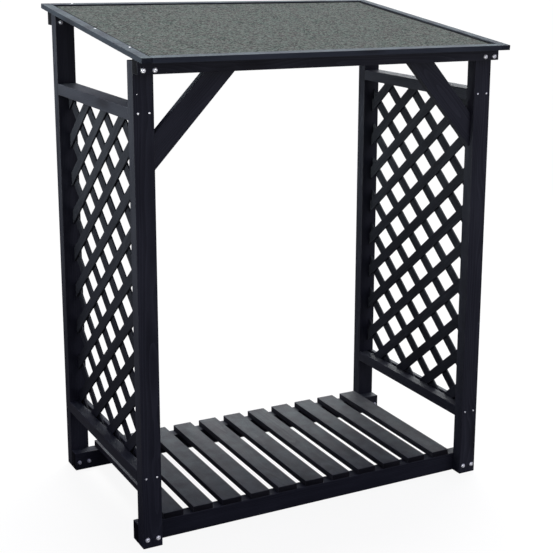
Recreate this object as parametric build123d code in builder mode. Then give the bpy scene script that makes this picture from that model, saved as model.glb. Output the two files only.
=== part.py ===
from build123d import *
import os
from math import ceil, cos, radians, sin, tan

# Log store: an open timber frame with lattice sides, a slatted floor and a felted single-pitch roof.
# Millimetres. X runs along the front, Y from front to back, Z up. The origin is on the ground,
# under the middle of the roof.

# Frame, measured over the posts
frame_width = 1147.0
frame_depth = 685.0
front_height = 1385.0  # roof's underside over the front posts' outer faces
front_post_drop = 9.0  # the front posts stop this much lower
roof_pitch = 6.36  # degrees, the roof rises to the back
post_width = 58.0
post_thickness = 40.0
sill_height = 58.0
sill_thickness = 40.0
header_height = 38.0  # the lower of its two sides
header_thickness = 36.0
timber_arris = 2.0

# Side panels
rail_width = 58.0
rail_height = 34.0
top_rail_drop = 134.0  # front height down to the top of the rail
bottom_rail_rise = 190.0  # ground up to the underside of the rail
groove_depth = 10.0
lattice_inset = 32.0  # rails' left faces to the lattice
lattice_slat_width = 33.0
lattice_slat_thickness = 6.0
lattice_cell_height = 120.0
lattice_cell_depth = 149.0
left_crossing_drop = 20.0  # underside of the top rail down to a crossing
left_crossing_shift = -4.0  # that crossing's place along the depth
right_crossing_drop = 13.0
right_crossing_shift = 54.0
panel_clearance = 0.3

# Front corner braces
brace_width = 67.0
brace_thickness = 24.0
brace_drop = 267.0  # header's underside down to the braces' lower corners
left_brace_reach = 247.0  # post's inner side to the brace's lower edge at the header's underside
right_brace_reach = 231.0

# Floor
floor_slat_count = 11
floor_slat_gap = 31.0
floor_slat_thickness = 18.0
floor_edge_inset = 20.0  # posts' inner sides to the outermost slats
slat_arris = 1.5

# Roof
side_overhang = 5.5  # past the posts' outer sides
eaves_overhang = 47.5  # past the headers' outer faces
deck_thickness = 10.0
felt_thickness = 2.0
trim_lip = 3.0  # trims stand this much above the felt
trim_width = 28.0
trim_arris = 1.5

# Places worked out from the sizes above
half_width = frame_width / 2
half_depth = frame_depth / 2
bay_half_width = half_width - post_width
bay_half_depth = half_depth - post_thickness
pitch_rise = tan(radians(roof_pitch))
pitch_cos = cos(radians(roof_pitch))
pitch_sin = sin(radians(roof_pitch))
header_underside = front_height - header_thickness * pitch_rise - header_height
sides = {"left": -1, "right": 1}
ends = {"front": -1, "back": 1}

os.makedirs("parts", exist_ok=True)


def roof_height(y):
    """Height of the roof's underside over a place along the depth."""
    return front_height + (y + half_depth) * pitch_rise


trim_height = deck_thickness + felt_thickness + trim_lip
roof_middle = trim_height * pitch_sin / 2
underside = Plane(
    origin=(0, roof_middle, roof_height(roof_middle)),
    x_dir=(1, 0, 0),
    z_dir=(0, -pitch_sin, pitch_cos),
)
up_from_roof = Axis(underside.origin, underside.z_dir)


def keep(piece, name):
    """Labels a finished piece and writes it as its own file."""
    piece.part.label = name
    export_step(piece.part, f"parts/{name}.step")


# Posts with level tops. The back ones touch the roof along their inner edges.
post_heights = {"front": front_height - front_post_drop, "back": roof_height(bay_half_depth)}
for end, along in ends.items():
    for side, across in sides.items():
        post_x = across * (half_width - post_width / 2)
        post_y = along * (half_depth - post_thickness / 2)
        with BuildPart() as post:
            with BuildSketch(Plane.XY):
                with Locations((post_x, post_y)):
                    Rectangle(post_width, post_thickness)
            extrude(amount=post_heights[end])
            chamfer(post.edges().filter_by(Axis.Z), length=timber_arris)
        keep(post, f"{end}_{side}_post")

# Headers on the posts' outer faces, bevelled on top so that the roof lies flat on them
for end, along in ends.items():
    near_y = along * half_depth
    far_y = near_y + along * header_thickness
    bottom = min(roof_height(near_y), roof_height(far_y)) - header_height
    with BuildPart() as header:
        with BuildSketch(Plane.YZ):
            with BuildLine():
                Polyline(
                    (near_y, bottom),
                    (far_y, bottom),
                    (far_y, roof_height(far_y)),
                    (near_y, roof_height(near_y)),
                    close=True,
                )
            make_face()
        extrude(amount=half_width, both=True)
        chamfer(header.edges().filter_by(Axis.X), length=timber_arris)
    keep(header, f"{end}_header")

# Sills on the ground, against the posts' inner faces
for end, along in ends.items():
    with BuildPart() as sill:
        with BuildSketch(Plane.YZ):
            with Locations((along * (bay_half_depth - sill_thickness / 2), sill_height / 2)):
                Rectangle(sill_thickness, sill_height)
        extrude(amount=half_width, both=True)
        chamfer(sill.edges().filter_by(Axis.X), length=timber_arris)
    keep(sill, f"{end}_sill")

# Side panels: both are the same unit, set the same way round between the posts.
# The rails have grooves that face each other and take the lattice.
panel_left_faces = {"left": -half_width, "right": half_width - post_width}
top_rail_bottom = front_height - top_rail_drop - rail_height
bottom_rail_top = bottom_rail_rise + rail_height
lattice_thickness = lattice_slat_thickness + lattice_slat_thickness
rails = {"top": (top_rail_bottom, 1), "bottom": (bottom_rail_top, -1)}
for side, left_x in panel_left_faces.items():
    groove_left = left_x + lattice_inset - panel_clearance
    groove_right = left_x + lattice_inset + lattice_thickness + panel_clearance
    for level, (grooved_z, away) in rails.items():
        groove_floor = grooved_z + away * groove_depth
        plain_z = grooved_z + away * rail_height
        with BuildPart() as rail:
            with BuildSketch(Plane.XZ):
                with BuildLine():
                    Polyline(
                        (left_x, grooved_z),
                        (groove_left, grooved_z),
                        (groove_left, groove_floor),
                        (groove_right, groove_floor),
                        (groove_right, grooved_z),
                        (left_x + rail_width, grooved_z),
                        (left_x + rail_width, plain_z),
                        (left_x, plain_z),
                        close=True,
                    )
                make_face()
            extrude(amount=bay_half_depth, both=True)
            faces_across = rail.faces().sort_by(Axis.X)
            arris_edges = faces_across[0].edges() + faces_across[-1].edges()
            chamfer(arris_edges.filter_by(Axis.Y), length=timber_arris)
        keep(rail, f"{side}_{level}_rail")

# Lattices: the left layer's slats rise to the front and the right layer's to the back.
# The two layers are joined where they cross.
panel_bottom = bottom_rail_top - groove_depth + panel_clearance
panel_top = top_rail_bottom + groove_depth - panel_clearance
panel_half_depth = bay_half_depth - panel_clearance
panel_height = panel_top - panel_bottom
lattice_angle = Vector(1, 0).get_angle(Vector(lattice_cell_depth, lattice_cell_height))
slat_length = panel_height + frame_depth
row_limit = ceil(slat_length / lattice_cell_height)
crossings = {
    "left": (left_crossing_shift, top_rail_bottom - left_crossing_drop),
    "right": (right_crossing_shift, top_rail_bottom - right_crossing_drop),
}


def slat_rows(crossing_y, crossing_z):
    """Numbers of the slats of each layer that cross a slat of the other one inside the panel."""
    found = set()
    for row in range(-row_limit, row_limit + 1):
        for other in range(-row_limit, row_limit + 1):
            y = crossing_y + (other - row) * lattice_cell_depth / 2
            z = crossing_z - (row + other) * lattice_cell_height / 2
            inside_depth = abs(y) < panel_half_depth - lattice_slat_thickness
            inside_height = panel_bottom + lattice_slat_thickness < z < panel_top - lattice_slat_thickness
            if inside_depth and inside_height:
                found.add((row, other))
    return sorted({row for row, other in found}), sorted({other for row, other in found})


for side, left_x in panel_left_faces.items():
    crossing_y, crossing_z = crossings[side]
    rising_rows, falling_rows = slat_rows(crossing_y, crossing_z)
    layers = ((rising_rows, -lattice_angle, -1), (falling_rows, lattice_angle, 1))
    between_layers = Plane.YZ.offset(left_x + lattice_inset + lattice_slat_thickness)
    with BuildPart() as lattice:
        for layer_rows, turn, outwards in layers:
            with BuildSketch(between_layers):
                with Locations(*[(crossing_y, crossing_z - row * lattice_cell_height) for row in layer_rows]):
                    Rectangle(slat_length + slat_length, lattice_slat_width, rotation=turn)
                with Locations((0, (panel_top + panel_bottom) / 2)):
                    Rectangle(panel_half_depth + panel_half_depth, panel_height, mode=Mode.INTERSECT)
            extrude(amount=outwards * lattice_slat_thickness)
    keep(lattice, f"{side}_lattice")

# Braces in the front corners, flush with the posts' back faces and cut to the roof's pitch on top
brace_foot = header_underside - brace_drop
brace_top = front_height + post_width
brace_reaches = {"left": left_brace_reach, "right": right_brace_reach}
for side, across in sides.items():
    brace_rise = brace_drop / brace_reaches[side]
    brace_upright = brace_width * Vector(1, brace_rise).length
    foot_x = across * bay_half_width
    low_x = foot_x - across * (brace_top - brace_foot) / brace_rise
    high_x = foot_x - across * (brace_top - brace_foot - brace_upright) / brace_rise
    with BuildPart() as brace:
        with BuildSketch(Plane.XZ.offset(bay_half_depth)):
            with BuildLine():
                Polyline(
                    (foot_x, brace_foot),
                    (foot_x, brace_foot + brace_upright),
                    (high_x, brace_top),
                    (low_x, brace_top),
                    close=True,
                )
            make_face()
        extrude(amount=brace_thickness)
        split(bisect_by=underside, keep=Keep.BOTTOM)
        brace_run = Axis((foot_x, 0, brace_foot), (-across, 0, brace_rise))
        chamfer(brace.edges().filter_by(brace_run), length=timber_arris)
    keep(brace, f"{side}_brace")

# Floor slats across the sills, evenly spaced
floor_half_span = bay_half_width - floor_edge_inset
floor_span = floor_half_span + floor_half_span
slat_pitch = (floor_span + floor_slat_gap) / floor_slat_count
floor_slat_width = slat_pitch - floor_slat_gap
for number in range(floor_slat_count):
    slat_x = (number - (floor_slat_count - 1) / 2) * slat_pitch
    with BuildPart() as floor_slat:
        with BuildSketch(Plane.XZ):
            with Locations((slat_x, sill_height + floor_slat_thickness / 2)):
                Rectangle(floor_slat_width, floor_slat_thickness)
        extrude(amount=bay_half_depth, both=True)
        chamfer(floor_slat.edges().filter_by(Axis.Y), length=slat_arris)
    keep(floor_slat, f"floor_slat_{number + 1:02d}")

# Roof: a deck inside a frame of trims, with felt on the deck
roof_width = frame_width + side_overhang + side_overhang
roof_half_run = half_depth + header_thickness + eaves_overhang
roof_half_length = roof_half_run / pitch_cos
deck_width = roof_width - trim_width - trim_width
deck_length = roof_half_length + roof_half_length - trim_width - trim_width

with BuildPart() as roof_deck:
    with BuildSketch(underside):
        Rectangle(deck_width, deck_length)
    extrude(amount=deck_thickness)
keep(roof_deck, "roof_deck")

with BuildPart() as roof_felt:
    with BuildSketch(underside.offset(deck_thickness)):
        Rectangle(deck_width, deck_length)
    extrude(amount=felt_thickness)
keep(roof_felt, "roof_felt")

for side, across in sides.items():
    with BuildPart() as side_trim:
        with BuildSketch(underside):
            with Locations((across * (roof_width - trim_width) / 2, 0)):
                Rectangle(trim_width, roof_half_length + roof_half_length)
        extrude(amount=trim_height)
        chamfer(side_trim.faces().sort_by(up_from_roof)[-1].edges(), length=trim_arris)
    keep(side_trim, f"roof_{side}_trim")

for end, along in ends.items():
    with BuildPart() as end_trim:
        with BuildSketch(underside):
            with Locations((0, along * (roof_half_length - trim_width / 2))):
                Rectangle(deck_width, trim_width)
        extrude(amount=trim_height)
        chamfer(end_trim.faces().sort_by(up_from_roof)[-1].edges(), length=trim_arris)
    keep(end_trim, f"roof_{end}_trim")
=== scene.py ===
from math import cos, pi, radians, sin

import bpy
import numpy as np
from mathutils import Matrix, Vector


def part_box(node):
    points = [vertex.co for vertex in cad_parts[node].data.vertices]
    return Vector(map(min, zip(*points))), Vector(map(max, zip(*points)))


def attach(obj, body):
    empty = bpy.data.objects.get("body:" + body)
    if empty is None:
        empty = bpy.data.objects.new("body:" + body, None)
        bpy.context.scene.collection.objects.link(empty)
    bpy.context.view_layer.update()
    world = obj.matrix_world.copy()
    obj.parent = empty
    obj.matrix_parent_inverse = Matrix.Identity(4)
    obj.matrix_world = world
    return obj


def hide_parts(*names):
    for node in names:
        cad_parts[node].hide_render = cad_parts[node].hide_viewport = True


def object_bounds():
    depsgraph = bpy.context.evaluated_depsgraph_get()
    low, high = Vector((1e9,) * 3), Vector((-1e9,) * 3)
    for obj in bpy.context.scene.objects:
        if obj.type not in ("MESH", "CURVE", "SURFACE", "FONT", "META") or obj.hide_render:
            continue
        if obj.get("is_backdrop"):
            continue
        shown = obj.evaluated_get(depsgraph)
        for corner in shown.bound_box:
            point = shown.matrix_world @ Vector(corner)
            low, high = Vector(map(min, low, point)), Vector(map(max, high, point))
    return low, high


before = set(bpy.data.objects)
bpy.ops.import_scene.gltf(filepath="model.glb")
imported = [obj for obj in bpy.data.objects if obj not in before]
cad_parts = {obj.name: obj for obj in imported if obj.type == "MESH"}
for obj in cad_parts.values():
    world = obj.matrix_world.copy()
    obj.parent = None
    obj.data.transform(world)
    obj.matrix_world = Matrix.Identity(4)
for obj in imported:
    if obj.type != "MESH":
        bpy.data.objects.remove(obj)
cad_low, cad_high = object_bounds()
scene = bpy.context.scene

# Log store: stained timbers, lattice slats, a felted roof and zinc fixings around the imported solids.
# Metres. X runs along the front, Y from front to back, Z up.

MM = 0.001
X, Y, Z = np.eye(3)
TOUCH = 0.1 * MM  # points that are nearer than this to a line or face lie on it
SHARP_ANGLE = radians(60)

# Timbers
ARRIS = 2.0 * MM
SLAT_ARRIS = 1.2 * MM
ARRIS_STEPS = 4
FLAT_GUARD = 1.6  # arrises from a corner to the point that keeps the flat beside it flat
LEAST_EXPOSURE = 0.35  # of an arris, where its curve meets a flat
# Rings at each end of a timber: depth and inset in arrises, and how rubbed the ring is
END_RINGS = ((0, 1, 0.2), (0.3, 0.3, 0.8), (1, 0, 0), (2, 0, 0))
GROOVE_CLEARANCE = 0.3 * MM
PITH_NEAR = 25.0 * MM  # least and greatest distance from a timber's middle to the heart of its tree
PITH_FAR = 70.0 * MM
TREE_LENGTH = 9.0  # a timber's grain starts at most this far along its tree, either way

# Tones go from 0 where the stain is thickest to 1 where it is thinnest. None leaves the tone to chance.
# The post, sill, rail and trim tones set here are painted light and shade: the back posts, the sills and
# the bottom rails are darkened for the shade they stand in, and each trim is lighter or darker by how
# light falls on it, the front one lightest and the right one darkest for the shade on its inner face.
POST_SHADE_TONES = {"front": 0.5, "back": 0.0}
SILL_SHADE_TONE = 0.0
RAIL_SHADE_TONES = {"top": None, "bottom": 0.0}
BRACE_TONE = 1.0
TRIM_LIGHT_AND_SHADE_TONES = {"left": 0.2, "right": 0.0, "front": 1.0, "back": 0.2}

# Lattice: one cell, a slat, and a crossing's place along the depth and below the top rail
LATTICE_CELL_DEPTH = 149.0 * MM
LATTICE_CELL_HEIGHT = 120.0 * MM
LATTICE_SLAT_WIDTH = 33.0 * MM
LATTICE_CROSSINGS = {"left": (-4.0 * MM, 20.0 * MM), "right": (54.0 * MM, 13.0 * MM)}
LATTICE_ROWS = 16  # strips that are tried on each side of that crossing

# Roof
TRIM_JOINT = 0.8 * MM  # open joint at each end of the front and back trims
# Edges of the felt without granules: left and right, front and back. Their black is partly bitumen and
# partly painted shade, for the shadow the trims cast on the felt and the shade along their inner faces.
FELT_BARE_AND_SHADED_EDGES = ((8.0 * MM, 15.0 * MM), (8.0 * MM, 11.0 * MM))
FELT_TURN = 0.2 * MM  # width of the outermost strip, which goes down to the deck
FELT_STEP = 1.0 * MM  # width of the slope from a bare edge up to the granules
FELT_LINES = 47  # grid lines over the granules in each direction
FELT_EDGE_DROP = 0.9 * MM
FELT_WAVE = 0.35 * MM

# Fixings
BOLT_SIDES, SCREW_SIDES, NAIL_SIDES = 24, 16, 14
OFF_AXIS = (0.31, 0.52, 0.8)  # a direction in which no fixing points
BOLT_SPREAD = 32.0 * MM
HEADER_BOLT_RISE = 11.2 * MM
HEADER_BOLT_INSET = 3.5 * MM  # inwards from the post's middle
SILL_BOLT_DROP = 2.7 * MM
RAIL_SCREW_RISE = 5.0 * MM
POST_SCREW_SCALE = 0.45  # size of the front left post's small screw beside the rail screws
POST_SCREW_INSET = 11.2 * MM
POST_SCREW_DROP = 86.8 * MM
LEFT_TRIM_NAILS = (-0.285, -0.012)  # places along the depth
BACK_TRIM_NAIL = -0.485  # place along the width
NAIL_OFFSET = 8.0 * MM  # trim's middle to its nails

# Figure of the wood: features to a metre, along a timber and in the two directions across it
KNOT_CELLS = (2.6, 9.0, 9.0)
RING_WANDERS = (1.5, 11.0, 11.0)
FIBRES = (9.0, 420.0, 420.0)
MOTTLES = (4.0, 26.0, 26.0)
LONG_RUBS = (14.0, 60.0, 60.0)
CHIPS = 260.0
DUST_AND_SHEEN_PATCHES, DUST_AND_SHEEN_SPECKS = 18.0, 420.0
ACROSS_GRAIN = (0.0, 1.0, 1.0)
KNOT_EDGE, SWIRL_EDGE = (0.05, 0.2), (0.05, 0.55)  # where a knot and the swirl round it fade out, in cells
RING_SHARPNESS = 2.5
WANDER_REACH = 20.0 * MM  # how far rings wander, and how far a knot pushes them
KNOT_PUSH = 12.0 * MM
RUB_RANGE = (0.42, 0.8)  # each range says where an effect starts and where it is full
PATCH_RANGE, SPECK_RANGE, UPWARD_RANGE = (0.3, 0.75), (0.25, 0.7), (0.35, 0.95)
THIN_RANGE = (0.55, 1.4)
DECK_HEART = (0.0, 0.07, -1.1)  # shift from object coordinates to the deck boards' tree
WOOD_RELIEF = 0.6 * MM

# Colours of the wood that are the same under every stain
KNOT_STAIN = (0.012, 0.011, 0.013, 1)
SOAKED_STAIN = (0.004, 0.004, 0.005, 1)
RUBBED_WOOD = (0.13, 0.125, 0.12, 1)
# Pale blue-green dust: on the trims' tops it is heavy and also paints their pale sheen.
DUST_AND_SHEEN = (0.235, 0.305, 0.305, 1)

# Felt: granules, clumps, drifts and clouds to a metre, their colours and how strongly they tint
GRIT_CELLS, CLUMP_CELLS, DRIFTS, CLOUDS = 430.0, 230.0, 42.0, 14.0
DARK_GRIT, PALE_GRIT = (0.026, 0.032, 0.029, 1), (0.146, 0.161, 0.149, 1)
PINK_GRIT, BLACK_GRIT = (0.174, 0.125, 0.118, 1), (0.014, 0.018, 0.017, 1)
PINK_FROM, BLACK_FROM = 0.82, 0.84  # granules whose random shade is above these
DARK_CLUMP, PALE_CLUMP = (0.005, 0.007, 0.006, 1), (0.181, 0.212, 0.183, 1)
GREEN_DRIFT, PINK_DRIFT = (0.060, 0.108, 0.084, 1), (0.139, 0.103, 0.101, 1)
PALE_CLOUD = (0.120, 0.132, 0.122, 1)
GRIT_RANGE, CLUMP_RANGE = (0.1, 0.95), (0.2, 0.8)
DRIFT_RANGE, CLOUD_RANGE = (0.38, 0.62), (0.4, 0.75)
CLUMP_TINT, DRIFT_TINT, CLOUD_TINT = 0.72, 0.2, 0.25
# Black of the edges without granules: bitumen, and painted shade along the trims.
BITUMEN_AND_PAINTED_SHADE = (0.002, 0.002, 0.0025, 1)
FELT_SHEEN = 0.08
GRIT_RELIEF = 0.8 * MM

# Zinc
ZINC_CLOUDS = 300.0
DULL_ZINC, CLEAN_ZINC = (0.86, 0.87, 0.88, 1), (1.0, 1.0, 0.99, 1)

random = np.random.default_rng(23)


def unit(vector):
    """A vector scaled to length 1."""
    vector = np.asarray(vector, float)
    return vector / np.linalg.norm(vector)


def box(node):
    """Lowest and highest corners of a CAD node as arrays."""
    return [np.array(corner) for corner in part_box(node)]


def node_points(node):
    """All points of a CAD node."""
    return np.array([vertex.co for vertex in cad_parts[node].data.vertices])


# Shapes: each is (points, blocks of faces with equal corner counts, attributes of the points)


def eased_outline(corners, arris):
    """Closed outline of a timber's section with its corners eased, and how exposed each point is.

    A corner C is the quadratic curve (1-s)^2 A + 2s(1-s) C + s^2 B, where A lies one arris before it and
    B one arris after it. One more point stands before A and one after B, so the flats stay flat in the
    shading. The exposure is e + (1 - e) sin(pi s) on the curve, with e the least one, and 0 on the flats.
    """
    corners = np.asarray(corners, float)
    before = np.roll(corners, 1, axis=0) - corners
    after = np.roll(corners, -1, axis=0) - corners
    before = (arris * before / np.linalg.norm(before, axis=1, keepdims=True))[:, None]
    after = (arris * after / np.linalg.norm(after, axis=1, keepdims=True))[:, None]
    middle = corners[:, None]
    s = np.linspace(0, 1, ARRIS_STEPS)[None, :, None]
    curve = (1 - s) ** 2 * (middle + before) + 2 * s * (1 - s) * middle + s**2 * (middle + after)
    outline = np.concatenate([middle + FLAT_GUARD * before, curve, middle + FLAT_GUARD * after], axis=1)
    bend = LEAST_EXPOSURE + (1 - LEAST_EXPOSURE) * np.sin(pi * s[0, :, 0])
    exposure = np.concatenate([[0], bend, [0]])
    return outline.reshape(-1, 2), np.tile(exposure, len(corners))


def rectangle(width, height):
    """Corners of a rectangle about the origin, anticlockwise."""
    return np.array([(-1, -1), (1, -1), (1, 1), (-1, 1)]) * (width / 2, height / 2)


def ring_walls(rings, count):
    """Point numbers of rings that follow each other, and the quads between them. Each ring is closed."""
    index = np.arange(rings * count).reshape(rings, count)
    turned = np.roll(index, -1, axis=1)
    return index, np.stack([index[:-1], turned[:-1], turned[1:], index[1:]], axis=-1).reshape(-1, 4)


def timber(section, seat, run, across, start_cuts, end_cuts, arris=ARRIS, tone=None):
    """A timber: its section carried along a straight run between cuts.

    point(u, v) = seat + a(u) across + b(u) up + t(u, v) run, with up = run x across. t goes from the last
    of the start cuts to the first of the end cuts, each a plane given as (point, normal). The rings next
    to a cut step in along the outline's normals, so the ends are eased as the long edges are. The points
    carry their place in the tree, their wear, a tone and a mark for the sawn ends. The tone is left to
    chance, or is given, and a given tone is painted light or shade on the whole timber.
    """
    outline, exposure = eased_outline(section, arris)
    run, across = unit(run), unit(across)
    up = np.cross(run, across)
    tangent = np.roll(outline, -1, axis=0) - np.roll(outline, 1, axis=0)
    normal = np.stack([tangent[:, 1], -tangent[:, 0]], axis=1)
    normal /= np.linalg.norm(normal, axis=1, keepdims=True)
    rings, places, worn, cut = [], [], [], []
    for depth, inset, rub in END_RINGS:
        flat = outline - inset * arris * normal
        base = np.asarray(seat, float) + flat[:, :1] * across + flat[:, 1:] * up
        for cuts, sign in ((start_cuts, 1), (end_cuts, -1)):
            reach = [((point - base) @ np.asarray(face, float)) / (run @ face) for point, face in cuts]
            t = sign * np.max(sign * np.array(reach), axis=0) + sign * depth * arris
            rings.append(base + t[:, None] * run)
            places.append(np.column_stack([t, flat]))
            worn.append(np.maximum(exposure * (depth > 0), rub))
            cut.append(np.full(len(flat), float(depth == 0)))
    order = [*range(0, len(rings), 2), *range(len(rings) - 1, 0, -2)]
    index, walls = ring_walls(len(order), len(outline))
    heart = random.uniform(0, 2 * pi)
    away = random.uniform(PITH_NEAR, PITH_FAR)
    own_tone = random.uniform(0, 1)
    shift = (random.uniform(-TREE_LENGTH, TREE_LENGTH), away * cos(heart), away * sin(heart))
    attributes = {
        "grain": np.concatenate([places[k] for k in order]) + shift,
        "worn": np.concatenate([worn[k] for k in order]),
        "cut": np.concatenate([cut[k] for k in order]),
        "tone": np.full(index.size, own_tone if tone is None else tone),
    }
    return np.concatenate([rings[k] for k in order]), [walls, index[:1, ::-1], index[-1:]], attributes


def turned_piece(profile, seat, axis, sides, outline=None, first_flat=0):
    """A turned piece: a profile of (radius, height) carried round an axis.

    point(u, v) = seat + r(v) (cos u, sin u) + z(v) axis. With an outline, r is the smaller of the profile's
    radius and outline(u) from the first flat ring on, which cuts flats. The last ring closes on the axis.
    """
    axis = unit(axis)
    side = unit(np.cross(axis, OFF_AXIS))
    other = np.cross(axis, side)
    radius, height = np.asarray(profile, float).T
    u = np.linspace(0, 2 * pi, sides, endpoint=False)
    r = np.repeat(radius[:, None], sides, axis=1)
    if outline is not None:
        r[first_flat:] = np.minimum(r[first_flat:], outline(u)[None])
    ring = np.cos(u)[:, None] * side + np.sin(u)[:, None] * other
    points = np.asarray(seat, float) + r[..., None] * ring[None] + height[:, None, None] * axis
    pole = np.asarray(seat, float) + height[-1] * axis
    index, walls = ring_walls(len(radius), sides)
    top = np.column_stack([index[-1], np.roll(index[-1], -1), np.full(sides, index.size)])
    return np.vstack([points.reshape(-1, 3), pole]), [walls, top, index[:1, ::-1]], {}


def hexagon(across_flats):
    """Radius of a hexagon as a function of the angle: half the flats over cos of the angle from a flat."""
    return lambda u: across_flats / 2 / np.cos((u + pi / 6) % (pi / 3) - pi / 6)


def joined(parts):
    """Several shapes as one."""
    starts = np.cumsum([0] + [len(points) for points, _, _ in parts])
    points = np.concatenate([part[0] for part in parts])
    blocks = [block + start for (_, part, _), start in zip(parts, starts) for block in part]
    attributes = {key: np.concatenate([part[2][key] for part in parts]) for key in parts[0][2]}
    return points, blocks, attributes


def make_piece(name, shape, material, nodes=()):
    """Puts a shape into a mesh that rides on the frame and stands for CAD nodes."""
    points, blocks, attributes = shape
    corners = np.concatenate([block.ravel() for block in blocks])
    counts = np.concatenate([np.full(len(block), block.shape[1]) for block in blocks])
    mesh = bpy.data.meshes.new(name)
    mesh.vertices.add(len(points))
    mesh.vertices.foreach_set("co", points.astype(np.float32).ravel())
    mesh.loops.add(len(corners))
    mesh.loops.foreach_set("vertex_index", corners.astype(np.int32))
    mesh.polygons.add(len(counts))
    mesh.polygons.foreach_set("loop_start", (np.cumsum(counts) - counts).astype(np.int32))
    mesh.update(calc_edges=True)
    mesh.validate()
    for key, values in attributes.items():
        kind, field = ("FLOAT_VECTOR", "vector") if values.ndim == 2 else ("FLOAT", "value")
        layer = mesh.attributes.new(key, kind, "POINT")
        layer.data.foreach_set(field, values.astype(np.float32).ravel())
    mesh.shade_smooth()
    mesh.set_sharp_from_angle(angle=SHARP_ANGLE)
    mesh.materials.append(material)
    piece = bpy.data.objects.new(name, mesh)
    scene.collection.objects.link(piece)
    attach(piece, "root")
    if nodes:
        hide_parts(*nodes)
    return piece


# Shader nodes


def add_node(tree, kind, inputs=None, **settings):
    """A node with its settings, and each named input set to a value or joined to a socket."""
    node = tree.nodes.new(kind)
    for key, value in settings.items():
        setattr(node, key, value)
    for key, value in (inputs or {}).items():
        if isinstance(value, bpy.types.NodeSocket):
            tree.links.new(value, node.inputs[key])
        else:
            node.inputs[key].default_value = value
    return node


def maths(tree, operation, *values):
    """The result of a Math node on sockets or numbers."""
    return add_node(tree, "ShaderNodeMath", dict(enumerate(values)), operation=operation).outputs[0]


def weighted(tree, start, *terms):
    """A start value plus values that are each multiplied by a weight, given as (value, weight)."""
    for value, weight in terms:
        start = maths(tree, "MULTIPLY_ADD", value, weight, start)
    return start


def scaled(tree, vector, factors):
    """A vector with its three parts multiplied by three factors."""
    return add_node(tree, "ShaderNodeVectorMath", {0: vector, 1: factors}, operation="MULTIPLY").outputs[0]


def eased(tree, value, low, high):
    """A value taken smoothly from 0 at low to 1 at high."""
    settings = {"Value": value, "From Min": low, "From Max": high}
    return add_node(tree, "ShaderNodeMapRange", settings, interpolation_type="SMOOTHSTEP").outputs[0]


def noise(tree, vector, scale, detail=2.0, roughness=0.5):
    """A noise value over a vector."""
    settings = {"Vector": vector, "Scale": scale, "Detail": detail, "Roughness": roughness}
    return add_node(tree, "ShaderNodeTexNoise", settings).outputs["Fac"]


def cells(tree, vector, scale):
    """Cells over a vector: three random shades of each cell, and the distance from its middle."""
    cell = add_node(tree, "ShaderNodeTexVoronoi", {"Vector": vector, "Scale": scale}).outputs
    return add_node(tree, "ShaderNodeSeparateColor", {0: cell["Color"]}).outputs, cell["Distance"]


def tinted(tree, factor, colour, other):
    """Two colours mixed by a factor."""
    return add_node(tree, "ShaderNodeMix", {0: factor, 6: colour, 7: other}, data_type="RGBA").outputs[2]


def attribute(tree, name, output="Fac"):
    """A value or vector that the points of a piece carry."""
    return add_node(tree, "ShaderNodeAttribute", attribute_name=name).outputs[output]


def placed_group(tree, group, inputs):
    """A group placed in a material with its inputs set or joined; gives its outputs."""
    return add_node(tree, "ShaderNodeGroup", inputs, node_tree=group).outputs


def new_group(name, inputs, outputs):
    """A shader node group with named sockets, as (tree, its inputs, its output node)."""
    tree = bpy.data.node_groups.new(name, "ShaderNodeTree")
    for label, kind in inputs.items():
        tree.interface.new_socket(label, in_out="INPUT", socket_type=kind)
    for label in outputs:
        tree.interface.new_socket(label, in_out="OUTPUT", socket_type="NodeSocketFloat")
    entry = tree.nodes.new("NodeGroupInput")
    return tree, entry.outputs, tree.nodes.new("NodeGroupOutput")


def timber_figure_group():
    """Growth rings, fibres and knots of softwood over a timber's own grain coordinates.

    The rings are the distance from the heart divided by the ring width, pushed outwards round each knot
    and wandering slowly along the timber. Fibres are noise stretched along the run.
    """
    tree, given, result = new_group(
        "timber_figure",
        {"Grain": "NodeSocketVector", "Ring Width": "NodeSocketFloat"},
        ("Ring", "Fibre", "Knot", "Mottle"),
    )
    grain = given["Grain"]
    knots = {"Vector": scaled(tree, grain, KNOT_CELLS), "Scale": 1.0}
    from_knot = add_node(tree, "ShaderNodeTexVoronoi", knots).outputs["Distance"]
    knot = maths(tree, "SUBTRACT", 1.0, eased(tree, from_knot, *KNOT_EDGE))
    swirl = maths(tree, "SUBTRACT", 1.0, eased(tree, from_knot, *SWIRL_EDGE))
    wander = noise(tree, scaled(tree, grain, RING_WANDERS), 1.0, detail=3.0)
    across = scaled(tree, grain, ACROSS_GRAIN)
    heart = add_node(tree, "ShaderNodeVectorMath", {0: across}, operation="LENGTH").outputs["Value"]
    radius = weighted(tree, heart, (wander, WANDER_REACH), (swirl, KNOT_PUSH))
    step = maths(tree, "FRACT", maths(tree, "DIVIDE", radius, given["Ring Width"]))
    ring = maths(tree, "POWER", step, RING_SHARPNESS)
    fibre = noise(tree, scaled(tree, grain, FIBRES), 1.0, detail=3.0, roughness=0.6)
    mottle = noise(tree, scaled(tree, grain, MOTTLES), 1.0, detail=3.0, roughness=0.55)
    for label, value in (("Ring", ring), ("Fibre", fibre), ("Knot", knot), ("Mottle", mottle)):
        tree.links.new(value, result.inputs[label])
    return tree


def arris_wear_group():
    """Stain rubbed thin along exposed edges: the exposure broken up by two sizes of noise."""
    tree, given, result = new_group(
        "arris_wear",
        {"Exposure": "NodeSocketFloat", "Grain": "NodeSocketVector", "Amount": "NodeSocketFloat"},
        ("Wear",),
    )
    long_rubs = noise(tree, scaled(tree, given["Grain"], LONG_RUBS), 1.0, detail=4.0, roughness=0.65)
    chips = noise(tree, given["Grain"], CHIPS)
    broken = weighted(tree, long_rubs, (chips, 0.3))
    held = maths(tree, "MULTIPLY", broken, given["Exposure"])
    wear = maths(tree, "MULTIPLY", eased(tree, held, *RUB_RANGE), given["Amount"])
    tree.links.new(wear, result.inputs["Wear"])
    return tree


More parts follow.
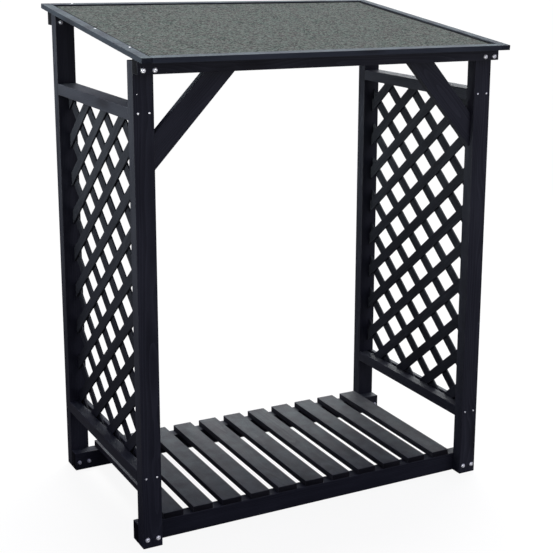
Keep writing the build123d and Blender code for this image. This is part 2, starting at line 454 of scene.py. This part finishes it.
def upward_dust_and_sheen_group():
    """Dusting on faces that look up, also used as a painted sheen where the amount is high: the height of
    the normal times patches of noise.
    """
    tree, given, result = new_group(
        "upward_dust_and_sheen",
        {"Facing": "NodeSocketFloat", "Place": "NodeSocketVector", "Amount": "NodeSocketFloat"},
        ("Dust And Sheen",),
    )
    patches = noise(tree, given["Place"], DUST_AND_SHEEN_PATCHES, detail=5.0, roughness=0.6)
    specks = noise(tree, given["Place"], DUST_AND_SHEEN_SPECKS)
    cover = maths(tree, "MULTIPLY", eased(tree, patches, *PATCH_RANGE), eased(tree, specks, *SPECK_RANGE))
    lying = maths(tree, "MULTIPLY", eased(tree, given["Facing"], *UPWARD_RANGE), cover)
    tree.links.new(maths(tree, "MULTIPLY", lying, given["Amount"]), result.inputs["Dust And Sheen"])
    return tree


timber_figure = timber_figure_group()
arris_wear = arris_wear_group()
upward_dust_and_sheen = upward_dust_and_sheen_group()


def new_material(name):
    """A material with its tree and its Principled shader."""
    material = bpy.data.materials.new(name)
    material.use_nodes = True
    return material, material.node_tree, material.node_tree.nodes["Principled BSDF"]


def stained_timber(name, stain, thin_stain, ring_width, roughness, wear, dust_and_sheen_amount, relief,
                   soak=0.0, sheen=0.3, on_object=False):
    """Softwood under a near-black stain, thinner on late wood and worn arrises, and soaked in at sawn ends.

    A timber's own attributes carry its grain, wear, tone and sawn ends. Where a tone is set rather than
    left to chance it paints light and shade on the whole timber. Faces that look up are dusted; on the
    trims this dusting is heavy and also paints the pale sheen of their tops. With on_object the grain lies
    on object coordinates, and the rest is even.
    """
    material, tree, shader = new_material(name)
    place = add_node(tree, "ShaderNodeTexCoord").outputs["Object"]
    if on_object:
        shifted = {"Vector": place, "Location": DECK_HEART}
        grain = add_node(tree, "ShaderNodeMapping", shifted).outputs[0]
        exposure, tone, sawn = 0.0, 0.5, 0.0
    else:
        grain = attribute(tree, "grain", "Vector")
        exposure, tone = attribute(tree, "worn"), attribute(tree, "tone")
        sawn = maths(tree, "MULTIPLY", attribute(tree, "cut"), soak)
    figure = placed_group(tree, timber_figure, {"Grain": grain, "Ring Width": ring_width})
    rubbed = placed_group(tree, arris_wear, {"Exposure": exposure, "Grain": grain, "Amount": wear})["Wear"]
    normal = add_node(tree, "ShaderNodeNewGeometry").outputs["Normal"]
    facing = add_node(tree, "ShaderNodeSeparateXYZ", {0: normal}).outputs["Z"]
    dust_and_sheen_mask = placed_group(tree, upward_dust_and_sheen, {"Facing": facing, "Place": place, "Amount": dust_and_sheen_amount})["Dust And Sheen"]

    # Set tones darken or lighten whole timbers: painted shade and light.
    thinness = weighted(
        tree, 0.0, (figure["Fibre"], 0.35), (figure["Ring"], 0.35), (figure["Mottle"], 1.0), (tone, 0.3))
    cover = tinted(tree, eased(tree, thinness, *THIN_RANGE), stain, thin_stain)
    cover = tinted(tree, maths(tree, "MULTIPLY", figure["Knot"], 0.55), cover, KNOT_STAIN)
    cover = tinted(tree, sawn, cover, SOAKED_STAIN)
    cover = tinted(tree, rubbed, cover, RUBBED_WOOD)
    # Dust on faces that look up; where heavy, as on the trims, it is also a painted sheen.
    cover = tinted(tree, dust_and_sheen_mask, cover, DUST_AND_SHEEN)
    tree.links.new(cover, shader.inputs["Base Color"])

    gloss = weighted(tree, roughness, (figure["Fibre"], 0.22), (dust_and_sheen_mask, 0.3), (sawn, 0.4))
    tree.links.new(gloss, shader.inputs["Roughness"])
    shader.inputs["Specular IOR Level"].default_value = sheen

    height = weighted(tree, figure["Fibre"], (figure["Ring"], 0.5), (figure["Knot"], -0.6))
    bump = add_node(tree, "ShaderNodeBump", {"Strength": relief, "Distance": WOOD_RELIEF, "Height": height})
    tree.links.new(bump.outputs["Normal"], shader.inputs["Normal"])
    return material


def mineral_felt():
    """Bitumen felt: grey-green granules with pinkish and greenish drifts, and black along its edges, which
    is bitumen and also painted shade along the trims.
    """
    material, tree, shader = new_material("mineral_felt")
    place = add_node(tree, "ShaderNodeTexCoord").outputs["Object"]
    shade, from_middle = cells(tree, place, GRIT_CELLS)
    clump, _ = cells(tree, place, CLUMP_CELLS)
    drifts = noise(tree, place, DRIFTS, detail=3.0, roughness=0.7)
    clouds = noise(tree, place, CLOUDS, detail=4.0, roughness=0.6)
    cover = tinted(tree, eased(tree, shade[0], *GRIT_RANGE), DARK_GRIT, PALE_GRIT)
    cover = tinted(tree, maths(tree, "GREATER_THAN", shade[1], PINK_FROM), cover, PINK_GRIT)
    cover = tinted(tree, maths(tree, "GREATER_THAN", shade[2], BLACK_FROM), cover, BLACK_GRIT)
    clump_colour = tinted(tree, eased(tree, clump[0], *CLUMP_RANGE), DARK_CLUMP, PALE_CLUMP)
    drift_colour = tinted(tree, eased(tree, drifts, *DRIFT_RANGE), GREEN_DRIFT, PINK_DRIFT)
    cover = tinted(tree, CLUMP_TINT, cover, clump_colour)
    cover = tinted(tree, DRIFT_TINT, cover, drift_colour)
    pale = maths(tree, "MULTIPLY", eased(tree, clouds, *CLOUD_RANGE), CLOUD_TINT)
    cover = tinted(tree, pale, cover, PALE_CLOUD)
    # Black along the felt's edges: bitumen, and painted shade where the trims shade the felt.
    cover = tinted(tree, attribute(tree, "bare_and_shaded"), cover, BITUMEN_AND_PAINTED_SHADE)
    tree.links.new(cover, shader.inputs["Base Color"])
    tree.links.new(weighted(tree, 0.75, (shade[0], 0.2)), shader.inputs["Roughness"])
    shader.inputs["Specular IOR Level"].default_value = FELT_SHEEN
    height = maths(tree, "SUBTRACT", 1.0, from_middle)
    bump = add_node(tree, "ShaderNodeBump", {"Strength": 0.7, "Distance": GRIT_RELIEF, "Height": height})
    tree.links.new(bump.outputs["Normal"], shader.inputs["Normal"])
    return material


def bright_zinc():
    """Zinc plating, bright and a little cloudy."""
    material, tree, shader = new_material("bright_zinc")
    place = add_node(tree, "ShaderNodeTexCoord").outputs["Object"]
    clouds = noise(tree, place, ZINC_CLOUDS, detail=3.0, roughness=0.6)
    tree.links.new(tinted(tree, clouds, DULL_ZINC, CLEAN_ZINC), shader.inputs["Base Color"])
    tree.links.new(weighted(tree, 0.18, (clouds, 0.2)), shader.inputs["Roughness"])
    shader.inputs["Metallic"].default_value = 0.5
    return material


frame_stain = stained_timber(
    "frame_stain", stain=(0.027, 0.0285, 0.0365, 1), thin_stain=(0.061, 0.064, 0.076, 1),
    ring_width=4.2 * MM, roughness=0.42, wear=0.4, dust_and_sheen_amount=0.13, relief=0.35, soak=0.92, sheen=0.18)
lattice_stain = stained_timber(
    "lattice_stain", stain=(0.0155, 0.0165, 0.0215, 1), thin_stain=(0.042, 0.045, 0.052, 1),
    ring_width=3.2 * MM, roughness=0.5, wear=0.15, dust_and_sheen_amount=0.13, relief=0.45, soak=0.6, sheen=0.18)
floor_stain = stained_timber(
    "floor_stain", stain=(0.028, 0.028, 0.034, 1), thin_stain=(0.070, 0.069, 0.072, 1),
    ring_width=3.8 * MM, roughness=0.55, wear=0.8, dust_and_sheen_amount=0.3, relief=0.5, soak=0.7)
# The trims carry heavy dust, which also paints the pale sheen along their tops.
trim_stain = stained_timber(
    "trim_stain", stain=(0.031, 0.037, 0.047, 1), thin_stain=(0.078, 0.093, 0.109, 1),
    ring_width=3.0 * MM, roughness=0.48, wear=0.6, dust_and_sheen_amount=0.64, relief=0.3, soak=0.2, sheen=0.22)
deck_stain = stained_timber(
    "deck_stain", stain=(0.034, 0.033, 0.034, 1), thin_stain=(0.080, 0.076, 0.072, 1),
    ring_width=5.0 * MM, roughness=0.5, wear=0.0, dust_and_sheen_amount=0.0, relief=0.4, on_object=True)
felt_cover = mineral_felt()
zinc = bright_zinc()

# Timbers of the frame. The deck's lowest corner and its rearmost one both lie on the roof's underside.
deck_points = node_points("roof_deck")
roof_seat = deck_points[deck_points[:, 2].argmin()]
roof_back = deck_points[deck_points[:, 1].argmax()]
pitch_rise = (roof_back[2] - roof_seat[2]) / (roof_back[1] - roof_seat[1])
along_roof = unit((0, 1, pitch_rise))
above_roof = unit((0, -pitch_rise, 1))
roof_cut = (roof_seat, above_roof)


def roof_height(y):
    """Height of the roof's underside over a place along the depth."""
    return roof_seat[2] + (y - roof_seat[1]) * pitch_rise


def straight_timber(node, run, across, material, section=None, arris=ARRIS, tone=None):
    """A timber that fills a node's box along one axis, with a plain or a given section."""
    low, high = box(node)
    size = high - low
    if section is None:
        section = rectangle(abs(size @ across), abs(size @ np.cross(run, across)))
    shape = timber(section, (low + high) / 2, run, across, [(low, run)], [(high, run)], arris, tone)
    make_piece(f"{node}_timber", shape, material, [node])


for end in ("front", "back"):
    for side in ("left", "right"):
        straight_timber(f"{end}_{side}_post", Z, X, frame_stain, tone=POST_SHADE_TONES[end])
    straight_timber(f"{end}_sill", X, Y, frame_stain, tone=SILL_SHADE_TONE)
    low, high = box(f"{end}_header")
    corners = np.array([
        (low[1], low[2]), (high[1], low[2]),
        (high[1], roof_height(high[1])), (low[1], roof_height(low[1]))])
    section = corners - (low + high)[1:] / 2
    straight_timber(f"{end}_header", X, Y, frame_stain, section=section)


def rail_section(side, level):
    """Section of a grooved rail about its middle, seen along the depth with left and right turned round."""
    low, high = box(f"{side}_{level}_rail")
    lattice_low, lattice_high = box(f"{side}_lattice")
    left, right = lattice_low[0] - GROOVE_CLEARANCE, lattice_high[0] + GROOVE_CLEARANCE
    grooved, plain, floor = low[2], high[2], lattice_high[2] + GROOVE_CLEARANCE
    if level == "bottom":
        grooved, plain, floor = high[2], low[2], lattice_low[2] - GROOVE_CLEARANCE
    corners = np.array([
        (low[0], plain), (low[0], grooved), (left, grooved), (left, floor),
        (right, floor), (right, grooved), (high[0], grooved), (high[0], plain)])
    middle = (low + high) / 2
    section = (corners - (middle[0], middle[2])) * (-1, 1)
    return section[::-1] if level == "top" else section


for side in ("left", "right"):
    for level in ("top", "bottom"):
        straight_timber(f"{side}_{level}_rail", Y, -X, frame_stain,
                        section=rail_section(side, level), tone=RAIL_SHADE_TONES[level])

for side, inwards in (("left", X), ("right", -X)):
    low, high = box(f"{side}_brace")
    size = high - low
    brace_run = unit(inwards * size[0] + Z * size[2])
    foot = np.array([low[0] if side == "left" else high[0], (low[1] + high[1]) / 2, low[2]])
    points = node_points(f"{side}_brace")
    foot_height = np.ptp(points[np.abs(points[:, 0] - foot[0]) < TOUCH, 2])
    brace_width = foot_height * abs(brace_run @ X)
    brace_up = np.cross(brace_run, Y)
    towards_post = brace_up * np.sign(brace_up @ Z)
    seat = foot + towards_post * brace_width / 2
    shape = timber(rectangle(size[1], brace_width), seat, brace_run, Y,
                   [(foot, inwards)], [roof_cut], tone=BRACE_TONE)
    make_piece(f"{side}_brace_timber", shape, frame_stain, [f"{side}_brace"])

floor_slats = sorted(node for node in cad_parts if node.startswith("floor_slat"))
for node in floor_slats:
    straight_timber(node, Y, -X, floor_stain, arris=SLAT_ARRIS)


def lattice_slats(side):
    """Slats of one panel: two layers of strips at equal and opposite slopes, cut by the panel's four sides.

    Strip k of a layer passes through the height of a crossing less k cell heights. A strip is kept where it
    crosses the other layer inside the panel.
    """
    low, high = box(f"{side}_lattice")
    rail_low, _ = box(f"{side}_top_rail")
    shift, drop = LATTICE_CROSSINGS[side]
    crossing = np.array([shift, rail_low[2] - drop])
    thickness = (high[0] - low[0]) / 2
    rows = np.arange(-LATTICE_ROWS, LATTICE_ROWS + 1)
    row, other = np.meshgrid(rows, rows, indexing="ij")
    y = crossing[0] + (other - row) * LATTICE_CELL_DEPTH / 2
    z = crossing[1] - (row + other) * LATTICE_CELL_HEIGHT / 2
    inside = (y > low[1] + thickness) & (y < high[1] - thickness)
    inside &= (z > low[2] + thickness) & (z < high[2] - thickness)
    slats = []
    for layer, slope, kept in ((-1, -1, rows[inside.any(axis=1)]), (1, 1, rows[inside.any(axis=0)])):
        run = unit((0, LATTICE_CELL_DEPTH, slope * LATTICE_CELL_HEIGHT))
        x = (low[0] + high[0]) / 2 + layer * thickness / 2
        first, last = (low, high) if slope > 0 else (low * (1, 1, 0) + high * Z, high * (1, 1, 0) + low * Z)
        cuts = [[(corner, Y), (corner, Z)] for corner in (first, last)]
        section = rectangle(thickness, LATTICE_SLAT_WIDTH)
        for k in kept:
            seat = (x, crossing[0], crossing[1] - k * LATTICE_CELL_HEIGHT)
            slats.append(timber(section, seat, run, X, *cuts, arris=SLAT_ARRIS))
    return joined(slats)


for side in ("left", "right"):
    make_piece(f"{side}_lattice_slats", lattice_slats(side), lattice_stain,
               [f"{side}_lattice"])


# Roof


def pitched_size(node):
    """Middle, length up the slope and height off it of a box that lies on the roof.

    The upright box round it is length cos + height sin deep and length sin + height cos high.
    """
    low, high = box(node)
    depth, rise = (high - low)[1:]
    c, s = along_roof[1:]
    length = (depth * c - rise * s) / (c * c - s * s)
    height = (rise * c - depth * s) / (c * c - s * s)
    return (low + high) / 2, length, height


for side in ("left", "right", "front", "back"):
    node = f"roof_{side}_trim"
    low, high = box(node)
    middle, length, height = pitched_size(node)
    if side in ("left", "right"):
        section, run, across = rectangle(high[0] - low[0], height), along_roof, -X
        ends = [[(middle + sign * along_roof * length / 2, along_roof)] for sign in (-1, 1)]
    else:
        section, run, across = rectangle(length, height), X, along_roof
        ends = [[(low + X * TRIM_JOINT, X)], [(high - X * TRIM_JOINT, X)]]
    shape = timber(section, middle, run, across, *ends, arris=SLAT_ARRIS, tone=TRIM_LIGHT_AND_SHADE_TONES[side])
    make_piece(f"{node}_strip", shape, trim_stain, [node])


def felt_sheet():
    """The felt: a closed sheet over the deck, whose top is a grid with slow waves and lower edges without
    granules, marked for black that is bitumen and painted shade along the trims.

    With u and v from -1 to 1 over the deck, lift(u, v) = thickness - edge drop on the edges without
    granules, and thickness - 2 wave + wave (sin 5u sin 4v + sin(11u + 1) cos 9v / 2) on the granules. It is
    0 on the outermost line, which one flat face closes underneath.
    """
    middle, length, height = pitched_size("roof_felt")
    low, high = box("roof_felt")
    half = np.array([high[0] - low[0], length]) / 2
    lines = []
    for h, edges in zip(half, FELT_BARE_AND_SHADED_EDGES):
        near, far = [np.array([0, FELT_TURN, edge, edge + FELT_STEP]) for edge in edges]
        covered = np.linspace(near[-1] - h, h - far[-1], FELT_LINES)
        lines.append(np.concatenate([near[:-1] - h, covered, h - far[-2::-1]]))
    a, b = np.meshgrid(*lines, indexing="ij")
    u, v = a / half[0], b / half[1]
    granules = np.pad(np.ones(FELT_LINES), len(near) - 1)
    bare_and_shaded = 1 - np.outer(granules, granules)
    from_edge = np.minimum(half[0] - np.abs(a), half[1] - np.abs(b))
    wave = FELT_WAVE * (np.sin(5 * u) * np.sin(4 * v) + np.sin(11 * u + 1) * np.cos(9 * v) / 2)
    lift = np.where(bare_and_shaded > 0, height - FELT_EDGE_DROP, height - 2 * FELT_WAVE + wave)
    lift[from_edge < TOUCH] = 0
    seat = middle - above_roof * height / 2
    points = seat + a[..., None] * X + b[..., None] * along_roof + lift[..., None] * above_roof
    index = np.arange(a.size).reshape(a.shape)
    top = np.stack([index[:-1, :-1], index[1:, :-1], index[1:, 1:], index[:-1, 1:]], axis=-1)
    rim = np.concatenate([index[0], index[1:, -1], index[-1, -2::-1], index[-2:0:-1, 0]])
    return points.reshape(-1, 3), [top.reshape(-1, 4), rim[None]], {"bare_and_shaded": bare_and_shaded.ravel()}


make_piece("roof_felt_sheet", felt_sheet(), felt_cover, ["roof_felt"])
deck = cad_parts["roof_deck"]
deck.data.materials.clear()
deck.data.materials.append(deck_stain)

# Fixings: profiles of (radius, height), each turned about its own axis
bolt_head = np.array([
    (7.2, 0.0), (7.2, 0.5), (6.9, 1.6), (6.1, 2.8), (4.9, 3.7), (3.4, 4.2),
    (3.2, 4.0), (3.2, 1.8), (0.8, 1.4)]) * MM
SOCKET_RING = 6  # the first ring of the bolt head's profile that lies in its socket
washer = np.array([(6.2, 0.0), (6.2, 1.2), (6.0, 1.4), (5.4, 1.4)]) * MM
nut_and_thread = np.array([
    (5.4, 1.4), (5.8, 2.0), (5.8, 5.6), (5.2, 6.2), (3.0, 6.2), (3.0, 8.6), (2.4, 9.2)]) * MM
screw_head = np.array([(3.1, 0.0), (3.1, 0.4), (2.7, 0.9), (1.8, 1.1), (0.8, 0.8)]) * MM
nail_head = np.array([(3.6, 0.0), (3.6, 0.5), (3.1, 0.9), (1.5, 1.0)]) * MM
nut_flats = hexagon(10.0 * MM)
socket_flats = hexagon(5.0 * MM)

heads, nuts, screws, nails = [], [], [], []


def bolt(x, z, outer_y, inner_y, outwards):
    """A bolt through two timbers: a socket head on the outer face, a washer and a nut on the inner one."""
    heads.append(turned_piece(
        bolt_head, (x, outer_y, z), outwards, BOLT_SIDES, outline=socket_flats, first_flat=SOCKET_RING))
    nuts.append(turned_piece(washer, (x, inner_y, z), -outwards, BOLT_SIDES))
    nuts.append(turned_piece(nut_and_thread, (x, inner_y, z), -outwards, BOLT_SIDES, outline=nut_flats))


for end, outwards in (("front", -Y), ("back", Y)):
    outer, inner = (0, 1) if end == "front" else (1, 0)
    header, sill = box(f"{end}_header"), box(f"{end}_sill")
    header_z = header[0][2] + HEADER_BOLT_RISE
    sill_z = (sill[0][2] + sill[1][2]) / 2 - SILL_BOLT_DROP
    for side, inset in (("left", HEADER_BOLT_INSET), ("right", -HEADER_BOLT_INSET)):
        post = box(f"{end}_{side}_post")
        for offset in (-BOLT_SPREAD / 2, BOLT_SPREAD / 2):
            x = (post[0][0] + post[1][0]) / 2 + offset
            bolt(x + inset, header_z, header[outer][1], post[inner][1], outwards)
            bolt(x, sill_z, post[outer][1], sill[inner][1], outwards)
            for level in ("top", "bottom"):
                rail = box(f"{side}_{level}_rail")
                z = (rail[0][2] + rail[1][2]) / 2 + RAIL_SCREW_RISE
                screws.append(turned_piece(screw_head, (x, post[outer][1], z), outwards, SCREW_SIDES))

post = box("front_left_post")
small_screw = (post[0][0] + POST_SCREW_INSET, post[0][1], post[1][2] - POST_SCREW_DROP)
screws.append(turned_piece(screw_head * POST_SCREW_SCALE, small_screw, -Y, SCREW_SIDES))

middle, _, height = pitched_size("roof_left_trim")
top = middle + above_roof * height / 2 + X * NAIL_OFFSET
for y in LEFT_TRIM_NAILS:
    seat = top + along_roof * (y - top[1]) / along_roof[1]
    nails.append(turned_piece(nail_head, seat, above_roof, NAIL_SIDES))
middle, _, height = pitched_size("roof_back_trim")
seat = middle + above_roof * height / 2 + X * BACK_TRIM_NAIL
nails.append(turned_piece(nail_head, seat, above_roof, NAIL_SIDES))

make_piece("bolt_nuts", joined(nuts), zinc)
outer_fixings = [
    make_piece("bolt_heads", joined(heads), zinc), make_piece("rail_screws", joined(screws), zinc),
    make_piece("trim_nails", joined(nails), zinc)]

# Stage: a floor that the camera sees as nearly white, while it throws little light back at the timbers.
# It is clear from below.
FLOOR_SPAN = 600.0
FLOOR_DROP = 0.3 * MM
FLOOR_GREY = (0.10, 0.10, 0.10, 1)
SEEN_GREY = (0.08, 0.08, 0.08, 1)
SEEN_GLOW = 0.92
WHITE = (1, 1, 1, 1)
ROOM_FILL = (0.64, 0.64, 1.0, 1)
ROOM_FILL_STRENGTH = 0.30


def shown_to_camera(tree, other, seen):
    """A mix that shows camera rays one shader and all other rays another."""
    ray = add_node(tree, "ShaderNodeLightPath").outputs["Is Camera Ray"]
    return add_node(tree, "ShaderNodeMixShader", {0: ray, 1: other.outputs[0], 2: seen.outputs[0]})


floor_mesh = bpy.data.meshes.new("studio_floor")
floor_corners = rectangle(FLOOR_SPAN, FLOOR_SPAN) @ np.eye(3)[:2] - FLOOR_DROP * Z
floor_mesh.from_pydata(floor_corners.tolist(), [], [[0, 1, 2, 3]])
floor_piece = bpy.data.objects.new("studio_floor", floor_mesh)
scene.collection.objects.link(floor_piece)
floor_piece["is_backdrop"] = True
floor_paint, tree, shader = new_material("studio_floor")
shader.inputs["Base Color"].default_value = FLOOR_GREY
shader.inputs["Roughness"].default_value = 0.9
shader.inputs["Specular IOR Level"].default_value = 0.0
lit = add_node(tree, "ShaderNodeBsdfDiffuse", {"Color": SEEN_GREY})
glow = add_node(tree, "ShaderNodeEmission", {"Color": WHITE, "Strength": SEEN_GLOW})
seen = add_node(tree, "ShaderNodeAddShader", {0: lit.outputs[0], 1: glow.outputs[0]})
mixed = shown_to_camera(tree, shader, seen)
clear = add_node(tree, "ShaderNodeBsdfTransparent")
below = add_node(tree, "ShaderNodeNewGeometry").outputs["Backfacing"]
sided = add_node(tree, "ShaderNodeMixShader", {0: below, 1: mixed.outputs[0], 2: clear.outputs[0]})
tree.links.new(sided.outputs[0], tree.nodes["Material Output"].inputs["Surface"])
floor_mesh.materials.append(floor_paint)

# Room: white to the camera, and a dim blue-violet fill for the object
world = bpy.data.worlds.new("studio_room")
world.use_nodes = True
tree = world.node_tree
fill = tree.nodes["Background"]
fill.inputs["Color"].default_value = ROOM_FILL
fill.inputs["Strength"].default_value = ROOM_FILL_STRENGTH
white = add_node(tree, "ShaderNodeBackground", {"Color": WHITE, "Strength": 1.0})
mixed = shown_to_camera(tree, fill, white)
tree.links.new(mixed.outputs[0], tree.nodes["World Output"].inputs["Surface"])
scene.world = world


def add_light(name, kind, energy, colour, place, target, **settings):
    """A lamp at a place, turned to a target."""
    lamp = bpy.data.lights.new(name, kind)
    lamp.energy, lamp.color = energy, colour
    for key, value in settings.items():
        setattr(lamp, key, value)
    light = bpy.data.objects.new(name, lamp)
    light.location = place
    light.rotation_euler = (Vector(place) - Vector(target)).to_track_quat("Z", "Y").to_euler()
    scene.collection.objects.link(light)
    return light


def softbox(name, energy, colour, place, target, width, height, **settings):
    """A rectangular lamp of a width and a height."""
    return add_light(name, "AREA", energy, colour, place, target,
                     shape="RECTANGLE", size=width, size_y=height, **settings)


# Lights: power, colour, place and target
centre = (cad_low + cad_high) / 2
add_light("overhead_key", "SUN", 3.2, (1.0, 0.99, 0.97), (0.9, 1.5, 6.0), centre, angle=radians(24))
softbox("left_softbox", 5.4, (0.93, 1.0, 0.99), (-2.4, 0.3, 1.85), (-0.57, 0.05, 1.4),
        width=1.3, height=1.0, spread=radians(42))
softbox("front_softbox", 7.5, (0.88, 0.87, 1.0), (1.25, -2.75, 1.1), (0.1, -0.3, 1.0),
        width=2.1, height=1.2)
softbox("back_softbox", 20.0, (0.93, 0.97, 1.0), (1.7, 3.4, 2.9), (0.3, 0.0, 1.4),
        width=3.0, height=1.6)
horizon = softbox("horizon_softbox", 44.0, (0.96, 1.0, 0.97), (3.0, 3.8, 1.6), (0.55, 0.1, 1.2),
                  width=2.4, height=1.2)
horizon.visible_camera = False
softbox("right_fill", 30.0, (1.0, 1.0, 1.0), (3.6, 0.9, 1.8), centre, width=2.5, height=2.5)

# One more light falls on the outer fixings alone, which bright zinc needs beside near-black timber.
fixings_light = softbox("fixings_light", 20.0, (1.0, 1.0, 1.0), (-0.3, -2.6, 0.45), (0.0, -0.4, 0.6),
                        width=1.6, height=0.8)
lit_fixings = bpy.data.collections.new("lit_fixings")
for piece in outer_fixings:
    lit_fixings.objects.link(piece)
fixings_light.light_linking.receiver_collection = lit_fixings

# The camera stands where lines measured in the photograph place it: yaw 30 degrees, looking 13 degrees
# down. The focus and the centre are in pixels of the photograph.
PHOTO_PIXELS = 553
PHOTO_FOCUS = 1228.48
PHOTO_CENTRE = (333.276, 231.022)
CAMERA_RIGHT = (0.86974284, -0.49332694, 0.01326304)
CAMERA_UP = (0.10151107, 0.20513676, 0.97345488)
CAMERA_BACK = (-0.48295226, -0.84530908, 0.22849438)
CAMERA_PLACE = (-1.69394, -3.36024, 1.67938)
camera_data = bpy.data.cameras.new("photo_camera")
camera = bpy.data.objects.new("photo_camera", camera_data)
scene.collection.objects.link(camera)
camera_axes = np.column_stack([CAMERA_RIGHT, CAMERA_UP, CAMERA_BACK, CAMERA_PLACE])
camera.matrix_world = Matrix(camera_axes.tolist()).to_4x4()
camera_data.lens = PHOTO_FOCUS * camera_data.sensor_width / PHOTO_PIXELS
camera_data.shift_x = 0.5 - PHOTO_CENTRE[0] / PHOTO_PIXELS
camera_data.shift_y = PHOTO_CENTRE[1] / PHOTO_PIXELS - 0.5
scene.camera = camera
scene.view_settings.view_transform = "Standard"

low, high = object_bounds()
